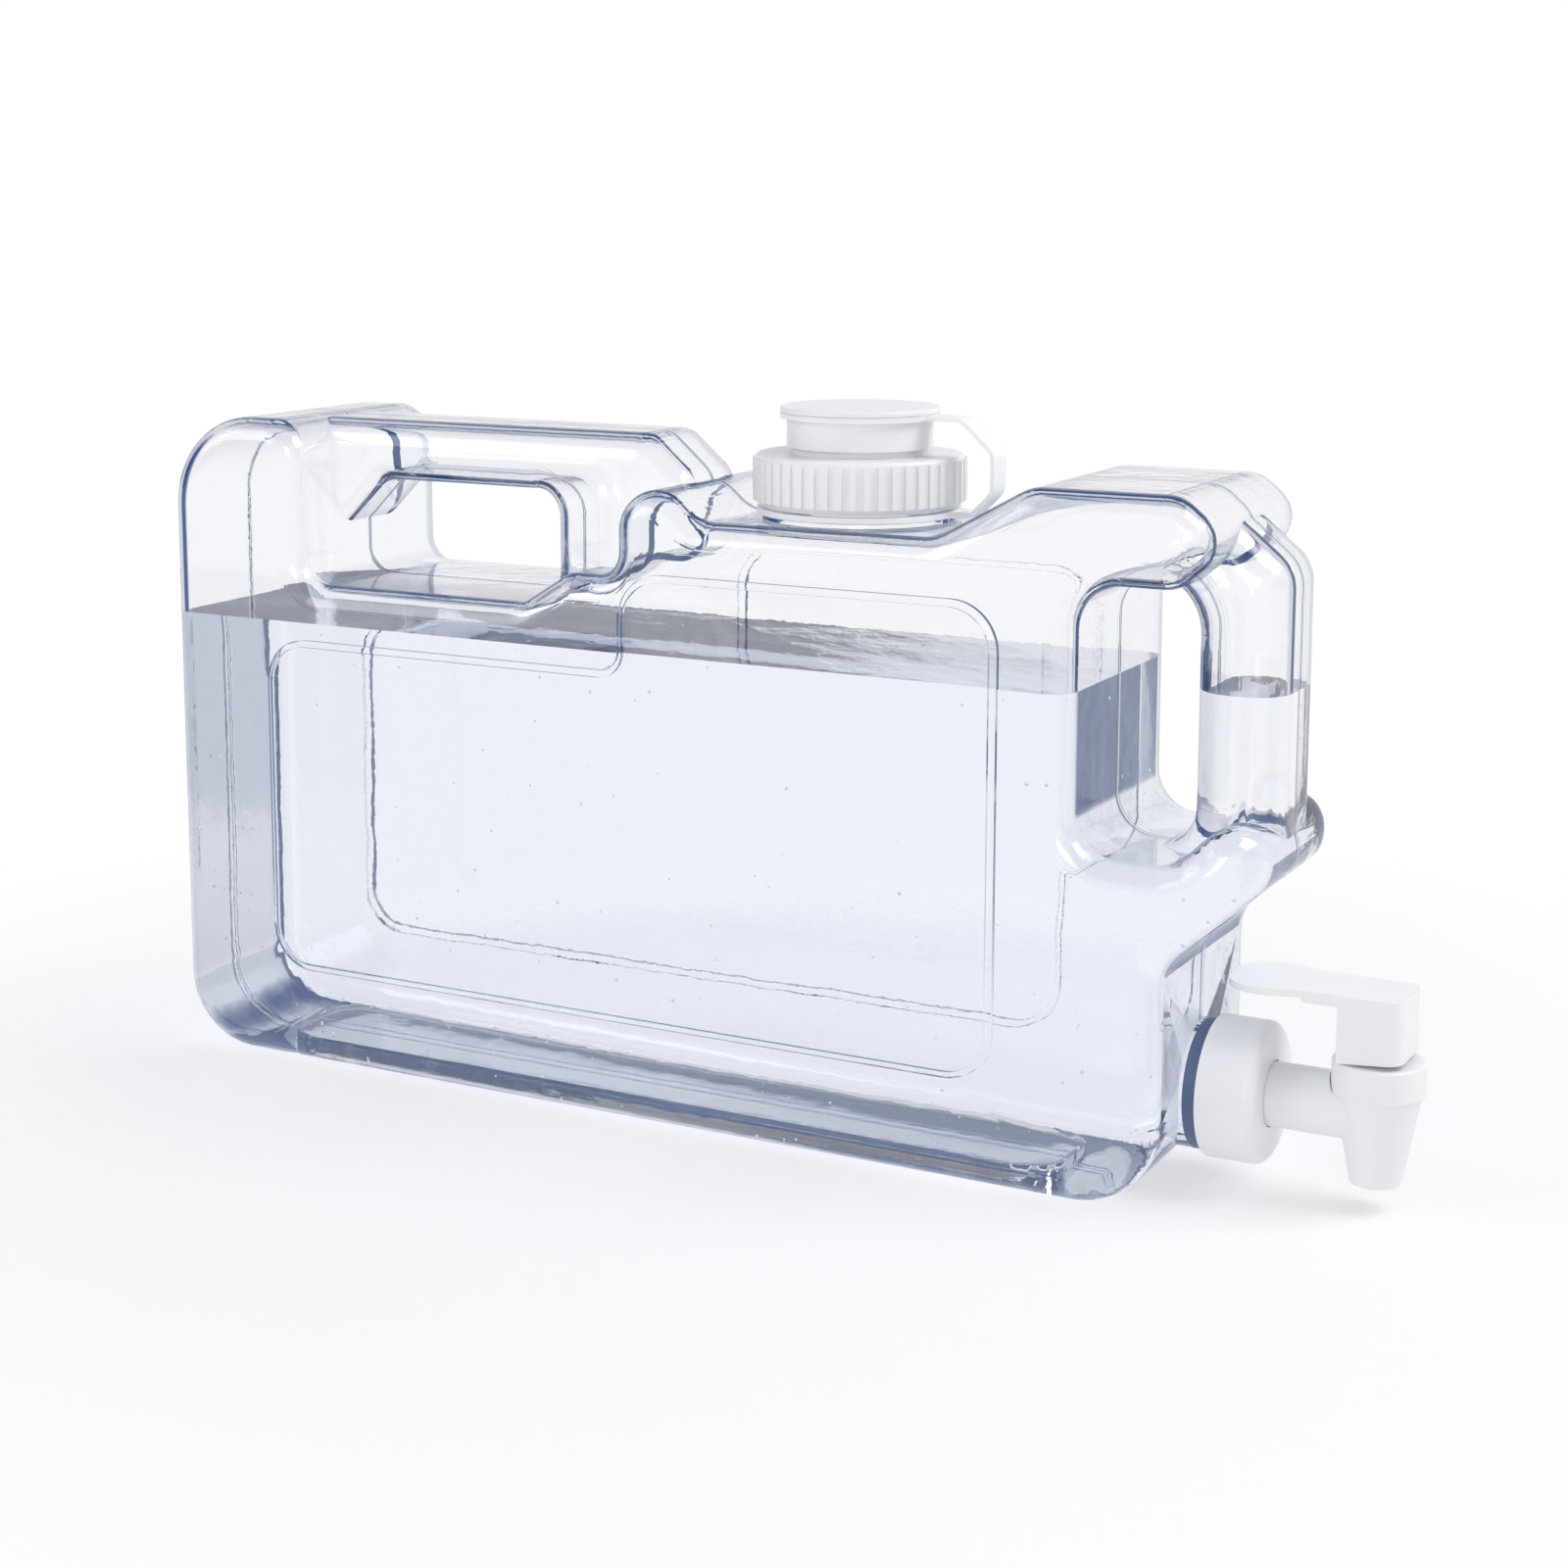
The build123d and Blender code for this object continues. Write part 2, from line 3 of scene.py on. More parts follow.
import bmesh
import bpy
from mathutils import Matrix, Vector


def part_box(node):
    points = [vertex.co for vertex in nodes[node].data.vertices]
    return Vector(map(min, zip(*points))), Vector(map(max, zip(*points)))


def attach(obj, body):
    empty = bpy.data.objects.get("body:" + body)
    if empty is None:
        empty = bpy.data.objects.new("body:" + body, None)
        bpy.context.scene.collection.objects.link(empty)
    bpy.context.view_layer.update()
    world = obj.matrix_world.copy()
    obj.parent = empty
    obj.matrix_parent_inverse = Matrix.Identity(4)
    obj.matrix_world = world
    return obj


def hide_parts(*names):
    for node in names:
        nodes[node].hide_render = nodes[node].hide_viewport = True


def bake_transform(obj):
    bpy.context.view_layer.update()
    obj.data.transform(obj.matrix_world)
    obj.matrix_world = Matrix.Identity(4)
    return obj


# Slim clear water carboy, three quarters full, standing on a white floor with its screw cap
# closed and its lever tap turned towards the bottle.
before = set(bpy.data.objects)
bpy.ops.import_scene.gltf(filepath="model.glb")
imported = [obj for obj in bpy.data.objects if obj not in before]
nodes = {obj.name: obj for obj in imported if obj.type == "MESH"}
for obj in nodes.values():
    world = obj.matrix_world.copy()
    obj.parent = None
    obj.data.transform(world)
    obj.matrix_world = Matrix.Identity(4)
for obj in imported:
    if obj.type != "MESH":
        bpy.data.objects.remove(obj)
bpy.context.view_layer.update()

# Clear moulded bottle
# Blow-moulded in one piece from clear plastic, about 2 mm thick, with a hollow handle and a
# hollow finger grip. The walls are slightly wavy and carry fine marks from the mould, and the
# line where the two halves of the mould met runs all round the middle.
PLASTIC_IOR = 1.47
WALL_WAVE_SIZE = 0.045
WALL_WAVE_HEIGHT = 0.00035
WALL_MARK_SIZE = 0.006
WALL_MARK_HEIGHT = 0.00004
# Colour of the painted shade that glows along the edges of the clear walls and the water.
PAINTED_EDGE_BLUE = (0.05, 0.09, 0.21, 1)
PARTING_HALF_WIDTH = 0.00055
PARTING_HEIGHT = 0.00025


def moulded_surface_group():
    """Shader group: soft waves and fine marks as a normal, with a slightly uneven roughness."""
    group = bpy.data.node_groups.new("moulded_surface", "ShaderNodeTree")
    face = group.interface
    for name, value in (("Wave Size", 0.04), ("Wave Height", 0.0002), ("Mark Size", 0.005),
                        ("Mark Height", 0.00003), ("Roughness Low", 0.1), ("Roughness High", 0.2)):
        face.new_socket(name, in_out="INPUT", socket_type="NodeSocketFloat").default_value = value
    face.new_socket("Normal", in_out="OUTPUT", socket_type="NodeSocketVector")
    face.new_socket("Roughness", in_out="OUTPUT", socket_type="NodeSocketFloat")
    face.new_socket("Mask", in_out="OUTPUT", socket_type="NodeSocketFloat")
    make = group.nodes.new
    link = group.links.new
    given = make("NodeGroupInput")
    result = make("NodeGroupOutput")
    place = make("ShaderNodeTexCoord")

    def noise(size_name, detail):
        scale = make("ShaderNodeMath")
        scale.operation = "DIVIDE"
        scale.inputs[0].default_value = 1.0
        link(given.outputs[size_name], scale.inputs[1])
        texture = make("ShaderNodeTexNoise")
        texture.inputs["Detail"].default_value = detail
        link(place.outputs["Object"], texture.inputs["Vector"])
        link(scale.outputs[0], texture.inputs["Scale"])
        return texture

    wave = noise("Wave Size", 1.5)
    mark = noise("Mark Size", 3.0)
    bump_wave = make("ShaderNodeBump")
    link(wave.outputs["Fac"], bump_wave.inputs["Height"])
    link(given.outputs["Wave Height"], bump_wave.inputs["Distance"])
    bump_mark = make("ShaderNodeBump")
    link(mark.outputs["Fac"], bump_mark.inputs["Height"])
    link(given.outputs["Mark Height"], bump_mark.inputs["Distance"])
    link(bump_wave.outputs["Normal"], bump_mark.inputs["Normal"])
    link(bump_mark.outputs["Normal"], result.inputs["Normal"])
    uneven = make("ShaderNodeMapRange")
    link(mark.outputs["Fac"], uneven.inputs["Value"])
    uneven.inputs["From Min"].default_value = 0.3
    uneven.inputs["From Max"].default_value = 0.7
    link(given.outputs["Roughness Low"], uneven.inputs["To Min"])
    link(given.outputs["Roughness High"], uneven.inputs["To Max"])
    link(uneven.outputs["Result"], result.inputs["Roughness"])
    link(wave.outputs["Fac"], result.inputs["Mask"])
    return group


moulded_surface = moulded_surface_group()


def new_material(name):
    """Empty node material with its output; returns the material, node maker and linker."""
    material = bpy.data.materials.new(name)
    material.use_nodes = True
    tree = material.node_tree
    tree.nodes.clear()
    output = tree.nodes.new("ShaderNodeOutputMaterial")
    return material, tree.nodes.new, tree.links.new, output


def see_through(name, colour, ior, roughness, waves, marks):
    """Clear refracting material that lets the lamps' light through, so its shadow stays pale.

    Where a ray has bounced off its faces more than twice, the surface glows deep blue instead, a
    painted shade that draws the dark edges.
    """
    material, make, link, output = new_material(name)
    surface = make("ShaderNodeBsdfPrincipled")
    surface.inputs["Base Color"].default_value = (*colour, 1)
    surface.inputs["IOR"].default_value = ior
    surface.inputs["Transmission Weight"].default_value = 1.0
    finish = make("ShaderNodeGroup")
    finish.node_tree = moulded_surface
    finish.inputs["Wave Size"].default_value = waves[0]
    finish.inputs["Wave Height"].default_value = waves[1]
    finish.inputs["Mark Size"].default_value = marks[0]
    finish.inputs["Mark Height"].default_value = marks[1]
    finish.inputs["Roughness Low"].default_value = roughness[0]
    finish.inputs["Roughness High"].default_value = roughness[1]
    link(finish.outputs["Normal"], surface.inputs["Normal"])
    link(finish.outputs["Roughness"], surface.inputs["Roughness"])
    passing = make("ShaderNodeBsdfTransparent")
    passing.inputs["Color"].default_value = (*colour, 1)
    # Painted shade: a deep blue glow in place of the surface once a ray has bounced off its faces
    # more than twice.
    painted_edge_glow = make("ShaderNodeEmission")
    painted_edge_glow.inputs["Color"].default_value = PAINTED_EDGE_BLUE
    path = make("ShaderNodeLightPath")
    painted_glow_mask = make("ShaderNodeMath")
    painted_glow_mask.operation = "GREATER_THAN"
    painted_glow_mask.inputs[1].default_value = 2.5
    link(path.outputs["Glossy Depth"], painted_glow_mask.inputs[0])
    painted_glow_mix = make("ShaderNodeMixShader")
    link(painted_glow_mask.outputs[0], painted_glow_mix.inputs[0])
    link(surface.outputs[0], painted_glow_mix.inputs[1])
    link(painted_edge_glow.outputs[0], painted_glow_mix.inputs[2])
    choose = make("ShaderNodeMixShader")
    link(path.outputs["Is Shadow Ray"], choose.inputs[0])
    link(painted_glow_mix.outputs[0], choose.inputs[1])
    link(passing.outputs[0], choose.inputs[2])
    link(choose.outputs[0], output.inputs["Surface"])
    return material


def wear(node_name, material):
    """Gives a CAD node its material."""
    slots = nodes[node_name].data.materials
    slots.clear()
    slots.append(material)


clear_plastic = see_through("clear_plastic", (0.975, 0.98, 0.995), PLASTIC_IOR, (0.0, 0.03),
                            (WALL_WAVE_SIZE, WALL_WAVE_HEIGHT), (WALL_MARK_SIZE, WALL_MARK_HEIGHT))
make = clear_plastic.node_tree.nodes.new
link = clear_plastic.node_tree.links.new
place = make("ShaderNodeTexCoord")
across = make("ShaderNodeSeparateXYZ")
link(place.outputs["Object"], across.inputs[0])
from_middle = make("ShaderNodeMath")
from_middle.operation = "ABSOLUTE"
link(across.outputs["Y"], from_middle.inputs[0])
ridge = make("ShaderNodeMapRange")
ridge.interpolation_type = "SMOOTHSTEP"
ridge.inputs["From Max"].default_value = PARTING_HALF_WIDTH
ridge.inputs["To Min"].default_value = 1.0
ridge.inputs["To Max"].default_value = 0.0
link(from_middle.outputs[0], ridge.inputs["Value"])
parting = make("ShaderNodeBump")
parting.inputs["Distance"].default_value = PARTING_HEIGHT
link(ridge.outputs["Result"], parting.inputs["Height"])
surface = next(n for n in clear_plastic.node_tree.nodes if n.type == "BSDF_PRINCIPLED")
finish = next(n for n in clear_plastic.node_tree.nodes if n.type == "GROUP")
link(finish.outputs["Normal"], parting.inputs["Normal"])
link(parting.outputs["Normal"], surface.inputs["Normal"])
wear("bottle", clear_plastic)

# Water
# The bottle is filled to a little under its handle. The water is the contents and not a piece,
# so it is cut here from a block, by taking the bottle's own walls away from it.
WATER_TOP = 0.1405
WATER_IOR = 1.333
BOSS_MOUTH = 0.144
BOSS_ROOF = 0.06
WATER_REACH_INTO_WALL = 0.00015


def merged_copy(name, source):
    """Copy of a CAD node's mesh with its loose triangles joined up."""
    copy = bpy.data.objects.new(name, source.data.copy())
    bpy.context.scene.collection.objects.link(copy)
    mesh = bmesh.new()
    mesh.from_mesh(copy.data)
    bmesh.ops.remove_doubles(mesh, verts=mesh.verts, dist=1e-6)
    mesh.to_mesh(copy.data)
    mesh.free()
    return copy


def finished(piece):
    """Turns a piece's modifiers into a plain mesh."""
    evaluated = piece.evaluated_get(bpy.context.evaluated_depsgraph_get())
    mesh = bpy.data.meshes.new_from_object(evaluated)
    piece.modifiers.clear()
    piece.data = mesh
    return piece


def islands(mesh):
    """Groups of joined vertices of a bmesh."""
    left = set(mesh.verts)
    groups = []
    while left:
        seed = left.pop()
        group = {seed}
        edge_of = [seed]
        while edge_of:
            vertex = edge_of.pop()
            for edge in vertex.link_edges:
                other = edge.other_vert(vertex)
                if other in left:
                    left.discard(other)
                    group.add(other)
                    edge_of.append(other)
        groups.append(group)
    return groups


def reach(group):
    """Length of the box round a group of vertices."""
    low = Vector([min(v.co[i] for v in group) for i in range(3)])
    high = Vector([max(v.co[i] for v in group) for i in range(3)])
    return (high - low).length


bottle_low, bottle_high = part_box("bottle")
block_low = bottle_low - Vector((0.01, 0.01, 0.01))
block_high = bottle_high + Vector((0.01, 0.01, 0))
block_outline = [
    (block_low.x, block_low.z),
    (BOSS_MOUTH, block_low.z),
    (BOSS_MOUTH, BOSS_ROOF),
    (block_high.x, BOSS_ROOF),
    (block_high.x, WATER_TOP),
    (block_low.x, WATER_TOP),
]
block = bmesh.new()
base_ring = [block.verts.new((x, block_low.y, z)) for x, z in block_outline]
face = block.faces.new(base_ring)
pushed = bmesh.ops.extrude_face_region(block, geom=[face])
moved = [v for v in pushed["geom"] if isinstance(v, bmesh.types.BMVert)]
bmesh.ops.translate(block, verts=moved, vec=(0, block_high.y - block_low.y, 0))
bmesh.ops.recalc_face_normals(block, faces=block.faces)
water_mesh = bpy.data.meshes.new("water")
block.to_mesh(water_mesh)
block.free()
water = bpy.data.objects.new("water", water_mesh)
bpy.context.scene.collection.objects.link(water)
walls = merged_copy("walls_copy", nodes["bottle"])
cut = water.modifiers.new("walls", "BOOLEAN")
cut.operation = "DIFFERENCE"
cut.solver = "EXACT"
cut.object = walls
finished(water)
bpy.data.objects.remove(walls)

body = bmesh.new()
body.from_mesh(water.data)
bmesh.ops.remove_doubles(body, verts=body.verts, dist=1e-6)
parts = sorted(islands(body), key=reach)
for outside in (parts[-1], *parts[:-2]):
    bmesh.ops.delete(body, geom=list(outside), context="VERTS")
body.normal_update()
for vertex in body.verts:
    height = vertex.co.z
    vertex.co += vertex.normal * WATER_REACH_INTO_WALL
    if height > WATER_TOP - 1e-6:
        vertex.co.z = height
body.to_mesh(water.data)
body.free()
water.data.shade_smooth()
water.data.set_sharp_from_angle(angle=math.radians(32))
level = water.modifiers.new("level_faces", "WEIGHTED_NORMAL")
level.mode = "FACE_AREA"
level.weight = 100
level.keep_sharp = True
finished(water)
water_material = see_through("water", (1.0, 1.0, 1.0), WATER_IOR, (0.0, 0.0),
                             (0.014, 0.00016), (0.01, 0.0))
depth = water_material.node_tree.nodes.new("ShaderNodeVolumeAbsorption")
depth.inputs["Color"].default_value = (0.36, 0.5, 0.88, 1)
depth.inputs["Density"].default_value = 1.5
water_output = next(n for n in water_material.node_tree.nodes if n.type == "OUTPUT_MATERIAL")
water_material.node_tree.links.new(depth.outputs[0], water_output.inputs["Volume"])
water.data.materials.clear()
water.data.materials.append(water_material)
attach(water, "bottle_body")

# Air bubbles
# Small bubbles of air that cling to the inside of the walls under the water line, more of them
# tiny than large.
BUBBLES_PER_AREA = 2600.0
BUBBLE_RADIUS = 0.0006
bubble_air, make, link, output = new_material("bubble_air")
# Painted highlight: a white base colour with only part transmission, so the bubbles show as white
# glints in place of the reflection off the air.
painted_glint_bubble = make("ShaderNodeBsdfPrincipled")
painted_glint_bubble.inputs["Base Color"].default_value = (0.9, 0.93, 1.0, 1)
painted_glint_bubble.inputs["IOR"].default_value = 1.3
painted_glint_bubble.inputs["Transmission Weight"].default_value = 0.45
skin = make("ShaderNodeGroup")
skin.node_tree = moulded_surface
skin.inputs["Wave Height"].default_value = 0.0
skin.inputs["Mark Height"].default_value = 0.0
skin.inputs["Roughness Low"].default_value = 0.05
skin.inputs["Roughness High"].default_value = 0.2
link(skin.outputs["Roughness"], painted_glint_bubble.inputs["Roughness"])
link(painted_glint_bubble.outputs[0], output.inputs["Surface"])
tree = bpy.data.node_groups.new("clinging_bubbles", "GeometryNodeTree")
tree.interface.new_socket("Geometry", in_out="INPUT", socket_type="NodeSocketGeometry")
tree.interface.new_socket("Geometry", in_out="OUTPUT", socket_type="NodeSocketGeometry")
density_input = tree.interface.new_socket("Density", in_out="INPUT", socket_type="NodeSocketFloat")
size_input = tree.interface.new_socket("Radius", in_out="INPUT", socket_type="NodeSocketFloat")
level_input = tree.interface.new_socket("Level", in_out="INPUT", socket_type="NodeSocketFloat")
given = tree.nodes.new("NodeGroupInput")
result = tree.nodes.new("NodeGroupOutput")
spot = tree.nodes.new("GeometryNodeInputPosition")
spot_parts = tree.nodes.new("ShaderNodeSeparateXYZ")
tree.links.new(spot.outputs[0], spot_parts.inputs[0])
below = tree.nodes.new("FunctionNodeCompare")
below.operation = "LESS_THAN"
tree.links.new(spot_parts.outputs["Z"], below.inputs["A"])
tree.links.new(given.outputs["Level"], below.inputs["B"])
scatter = tree.nodes.new("GeometryNodeDistributePointsOnFaces")
scatter.inputs["Seed"].default_value = 7
tree.links.new(given.outputs["Geometry"], scatter.inputs["Mesh"])
tree.links.new(below.outputs[0], scatter.inputs["Selection"])
tree.links.new(given.outputs["Density"], scatter.inputs["Density"])
inwards = tree.nodes.new("ShaderNodeVectorMath")
inwards.operation = "SCALE"
tree.links.new(scatter.outputs["Normal"], inwards.inputs[0])
depth_in = tree.nodes.new("ShaderNodeMath")
depth_in.operation = "MULTIPLY"
depth_in.inputs[1].default_value = -1.25
tree.links.new(given.outputs["Radius"], depth_in.inputs[0])
tree.links.new(depth_in.outputs[0], inwards.inputs["Scale"])
shift = tree.nodes.new("GeometryNodeSetPosition")
tree.links.new(scatter.outputs["Points"], shift.inputs["Geometry"])
tree.links.new(inwards.outputs[0], shift.inputs["Offset"])
bead = tree.nodes.new("GeometryNodeMeshIcoSphere")
bead.inputs["Subdivisions"].default_value = 2
tree.links.new(given.outputs["Radius"], bead.inputs["Radius"])
spread = tree.nodes.new("FunctionNodeRandomValue")
spread.data_type = "FLOAT"
spread.inputs[2].default_value = 0.0
spread.inputs[3].default_value = 1.0
spread.inputs["Seed"].default_value = 3
shrink = tree.nodes.new("ShaderNodeMath")
shrink.operation = "POWER"
shrink.inputs[1].default_value = 3.0
tree.links.new(spread.outputs[1], shrink.inputs[0])
grow = tree.nodes.new("ShaderNodeMath")
grow.operation = "MULTIPLY_ADD"
grow.inputs[1].default_value = 0.75
grow.inputs[2].default_value = 0.25
tree.links.new(shrink.outputs[0], grow.inputs[0])
beads = tree.nodes.new("GeometryNodeInstanceOnPoints")
tree.links.new(shift.outputs[0], beads.inputs["Points"])
tree.links.new(bead.outputs["Mesh"], beads.inputs["Instance"])
tree.links.new(grow.outputs[0], beads.inputs["Scale"])
real = tree.nodes.new("GeometryNodeRealizeInstances")
tree.links.new(beads.outputs[0], real.inputs[0])
clothe = tree.nodes.new("GeometryNodeSetMaterial")
clothe.inputs["Material"].default_value = bubble_air
tree.links.new(real.outputs[0], clothe.inputs["Geometry"])
tree.links.new(clothe.outputs[0], result.inputs["Geometry"])
bubbles = bpy.data.objects.new("air_bubbles", water.data.copy())
bpy.context.scene.collection.objects.link(bubbles)
cling = bubbles.modifiers.new("bubbles", "NODES")
cling.node_group = tree
cling[density_input.identifier] = BUBBLES_PER_AREA
cling[size_input.identifier] = BUBBLE_RADIUS
cling[level_input.identifier] = WATER_TOP - 0.002
finished(bubbles)
bubbles.data.shade_smooth()
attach(bubbles, "bottle_body")

# White cap, lid and tap mouldings
# Injection-moulded in white plastic with a soft sheen: the cap with its spout, the push-on lid,
# and the tap's collar, body, bonnet, stem and lever.
WHITE = (0.83, 0.835, 0.845)


def opaque_plastic(name, colour, roughness, grain_size, grain_height, soft=0.0):
    """Moulded plastic with a fine grain and a slightly uneven colour."""
    material, make, link, output = new_material(name)
    surface = make("ShaderNodeBsdfPrincipled")
    surface.inputs["IOR"].default_value = 1.5
    surface.inputs["Subsurface Weight"].default_value = soft
    surface.inputs["Subsurface Radius"].default_value = (0.004, 0.004, 0.005)
    surface.inputs["Subsurface Scale"].default_value = 1.0
    finish = make("ShaderNodeGroup")
    finish.node_tree = moulded_surface
    finish.inputs["Wave Size"].default_value = 0.02
    finish.inputs["Wave Height"].default_value = 0.00003
    finish.inputs["Mark Size"].default_value = grain_size
    finish.inputs["Mark Height"].default_value = grain_height
    finish.inputs["Roughness Low"].default_value = roughness[0]
    finish.inputs["Roughness High"].default_value = roughness[1]
    shade = make("ShaderNodeMix")
    shade.data_type = "RGBA"
    shade.inputs["A"].default_value = (*[c * 0.965 for c in colour], 1)
    shade.inputs["B"].default_value = (*colour, 1)
    link(finish.outputs["Mask"], shade.inputs["Factor"])
    link(shade.outputs["Result"], surface.inputs["Base Color"])
    link(finish.outputs["Normal"], surface.inputs["Normal"])
    link(finish.outputs["Roughness"], surface.inputs["Roughness"])
    link(surface.outputs[0], output.inputs["Surface"])
    return material


white_plastic = opaque_plastic("white_plastic", WHITE, (0.32, 0.46), 0.0012, 0.000006, 0.06)
for name in ("screw_cap", "push_lid", "tap_collar", "tap_body", "tap_bonnet", "tap_stem",
             "tap_lever"):
    wear(name, white_plastic)

# Seals, liner and washer
# Pale soft rings inside the cap, the lid and the tap, and a dark blue ring round the outlet
# between the bottle's flange and the white collar.
seal_rubber = opaque_plastic("seal_rubber", (0.6, 0.6, 0.58), (0.55, 0.75), 0.0015, 0.00002)
for name in ("cap_liner", "lid_seal", "flange_seal", "bonnet_seal", "stem_seal", "valve_cup"):
    wear(name, seal_rubber)
gasket_rubber = opaque_plastic("gasket_rubber", (0.085, 0.125, 0.235), (0.3, 0.5), 0.002, 0.00002)
wear("outlet_gasket", gasket_rubber)
washer_plastic = opaque_plastic("washer_plastic", (0.7, 0.7, 0.7), (0.4, 0.5), 0.001, 0.00001)
wear("spring_washer", washer_plastic)

# Return spring
# Coil of drawn steel wire under the bonnet that pushes the valve down on its seat.
spring_wire, make, link, output = new_material("spring_wire")
wire = make("ShaderNodeBsdfPrincipled")
wire.inputs["Base Color"].default_value = (0.55, 0.56, 0.58, 1)
wire.inputs["Metallic"].default_value = 1.0
drawn = make("ShaderNodeGroup")
drawn.node_tree = moulded_surface
drawn.inputs["Mark Size"].default_value = 0.0005
drawn.inputs["Mark Height"].default_value = 0.00001
drawn.inputs["Roughness Low"].default_value = 0.22
drawn.inputs["Roughness High"].default_value = 0.36
link(drawn.outputs["Normal"], wire.inputs["Normal"])
link(drawn.outputs["Roughness"], wire.inputs["Roughness"])
link(wire.outputs[0], output.inputs["Surface"])
wear("return_spring", spring_wire)

# Tether strap
# Thin strap of milky plastic moulded with two rings, one held under the lid's lip and one round
# the neck below the cap.
STRAP_EDGE = 0.0016
strap_plastic, make, link, output = new_material("strap_plastic")
milky = make("ShaderNodeBsdfPrincipled")
milky.inputs["Base Color"].default_value = (0.88, 0.885, 0.9, 1)
milky.inputs["Subsurface Weight"].default_value = 0.3
milky.inputs["Subsurface Radius"].default_value = (0.006, 0.006, 0.006)
milky.inputs["Subsurface Scale"].default_value = 1.0
strap_grain = make("ShaderNodeGroup")
strap_grain.node_tree = moulded_surface
strap_grain.inputs["Mark Size"].default_value = 0.001
strap_grain.inputs["Mark Height"].default_value = 0.00001
strap_grain.inputs["Roughness Low"].default_value = 0.35
strap_grain.inputs["Roughness High"].default_value = 0.5
link(strap_grain.outputs["Normal"], milky.inputs["Normal"])
link(strap_grain.outputs["Roughness"], milky.inputs["Roughness"])
link(milky.outputs[0], output.inputs["Surface"])
strap = merged_copy("strap", nodes["tether_strap"])
fine = bmesh.new()
fine.from_mesh(strap.data)
for _ in range(4):
    long_edges = [e for e in fine.edges if e.calc_length() > STRAP_EDGE]
    if long_edges:
        bmesh.ops.subdivide_edges(fine, edges=long_edges, cuts=1)
        bmesh.ops.triangulate(fine, faces=[f for f in fine.faces if len(f.verts) > 4])
bmesh.ops.recalc_face_normals(fine, faces=fine.faces)
fine.to_mesh(strap.data)
fine.free()
strap.data.shade_smooth()
strap.data.set_sharp_from_angle(angle=math.radians(35))
strap.data.materials.clear()
strap.data.materials.append(strap_plastic)
neck_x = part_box("screw_cap")[0].x / 2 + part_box("screw_cap")[1].x / 2
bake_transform(strap)
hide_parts("tether_strap")

# Neck thread
# Round-topped ridge of two and a half turns moulded round the neck, which the cap screws on.
THREAD_TURNS = 2.2
THREAD_PITCH = 0.0045
THREAD_RIDGE = 0.0005
NECK_RADIUS = 0.0265
THREAD_START = 0.1848
tree = bpy.data.node_groups.new("thread_ridge", "GeometryNodeTree")
tree.interface.new_socket("Geometry", in_out="INPUT", socket_type="NodeSocketGeometry")
tree.interface.new_socket("Geometry", in_out="OUTPUT", socket_type="NodeSocketGeometry")
turns_input = tree.interface.new_socket("Turns", in_out="INPUT", socket_type="NodeSocketFloat")
radius_input = tree.interface.new_socket("Radius", in_out="INPUT", socket_type="NodeSocketFloat")
height_input = tree.interface.new_socket("Height", in_out="INPUT", socket_type="NodeSocketFloat")
ridge_input = tree.interface.new_socket("Ridge", in_out="INPUT", socket_type="NodeSocketFloat")
given = tree.nodes.new("NodeGroupInput")
result = tree.nodes.new("NodeGroupOutput")
spiral = tree.nodes.new("GeometryNodeCurveSpiral")
spiral.inputs["Resolution"].default_value = 64
tree.links.new(given.outputs["Turns"], spiral.inputs["Rotations"])
tree.links.new(given.outputs["Radius"], spiral.inputs["Start Radius"])
tree.links.new(given.outputs["Radius"], spiral.inputs["End Radius"])
tree.links.new(given.outputs["Height"], spiral.inputs["Height"])
profile = tree.nodes.new("GeometryNodeCurvePrimitiveCircle")
profile.inputs["Resolution"].default_value = 10
tree.links.new(given.outputs["Ridge"], profile.inputs["Radius"])
ridge = tree.nodes.new("GeometryNodeCurveToMesh")
ridge.inputs["Fill Caps"].default_value = True
tree.links.new(spiral.outputs[0], ridge.inputs["Curve"])
tree.links.new(profile.outputs[0], ridge.inputs["Profile Curve"])
clothe = tree.nodes.new("GeometryNodeSetMaterial")
clothe.inputs["Material"].default_value = clear_plastic
tree.links.new(ridge.outputs[0], clothe.inputs["Geometry"])
tree.links.new(clothe.outputs[0], result.inputs["Geometry"])
thread = bpy.data.objects.new("neck_thread", bpy.data.meshes.new("neck_thread"))
bpy.context.scene.collection.objects.link(thread)
wind = thread.modifiers.new("thread", "NODES")
wind.node_group = tree
wind[turns_input.identifier] = THREAD_TURNS
wind[radius_input.identifier] = NECK_RADIUS - 0.0005
wind[height_input.identifier] = THREAD_TURNS * THREAD_PITCH
wind[ridge_input.identifier] = THREAD_RIDGE
finished(thread)
for vertex in thread.data.vertices:
    vertex.co += Vector((neck_x, 0, THREAD_START))
thread.data.shade_smooth()
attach(thread, "bottle_body")

# Floor
# White and matt, with the object's faint shadow, fading into the white background. Through the
# clear plastic it is seen only near the object, and further off the surroundings show.
FLOOR_HALF = 6.0
floor_mesh = bpy.data.meshes.new("floor")
corners = [(-FLOOR_HALF, -FLOOR_HALF, 0), (FLOOR_HALF, -FLOOR_HALF, 0),
           (FLOOR_HALF, FLOOR_HALF, 0), (-FLOOR_HALF, FLOOR_HALF, 0)]
floor_mesh.from_pydata([(x, y, z - 0.0004) for x, y, z in corners], [], [(0, 1, 2, 3)])
floor = bpy.data.objects.new("floor", floor_mesh)
bpy.context.scene.collection.objects.link(floor)
floor_white, make, link, output = new_material("floor_white")
matt = make("ShaderNodeBsdfDiffuse")
matt.inputs["Color"].default_value = (0.9, 0.9, 0.905, 1)
glow = make("ShaderNodeEmission")
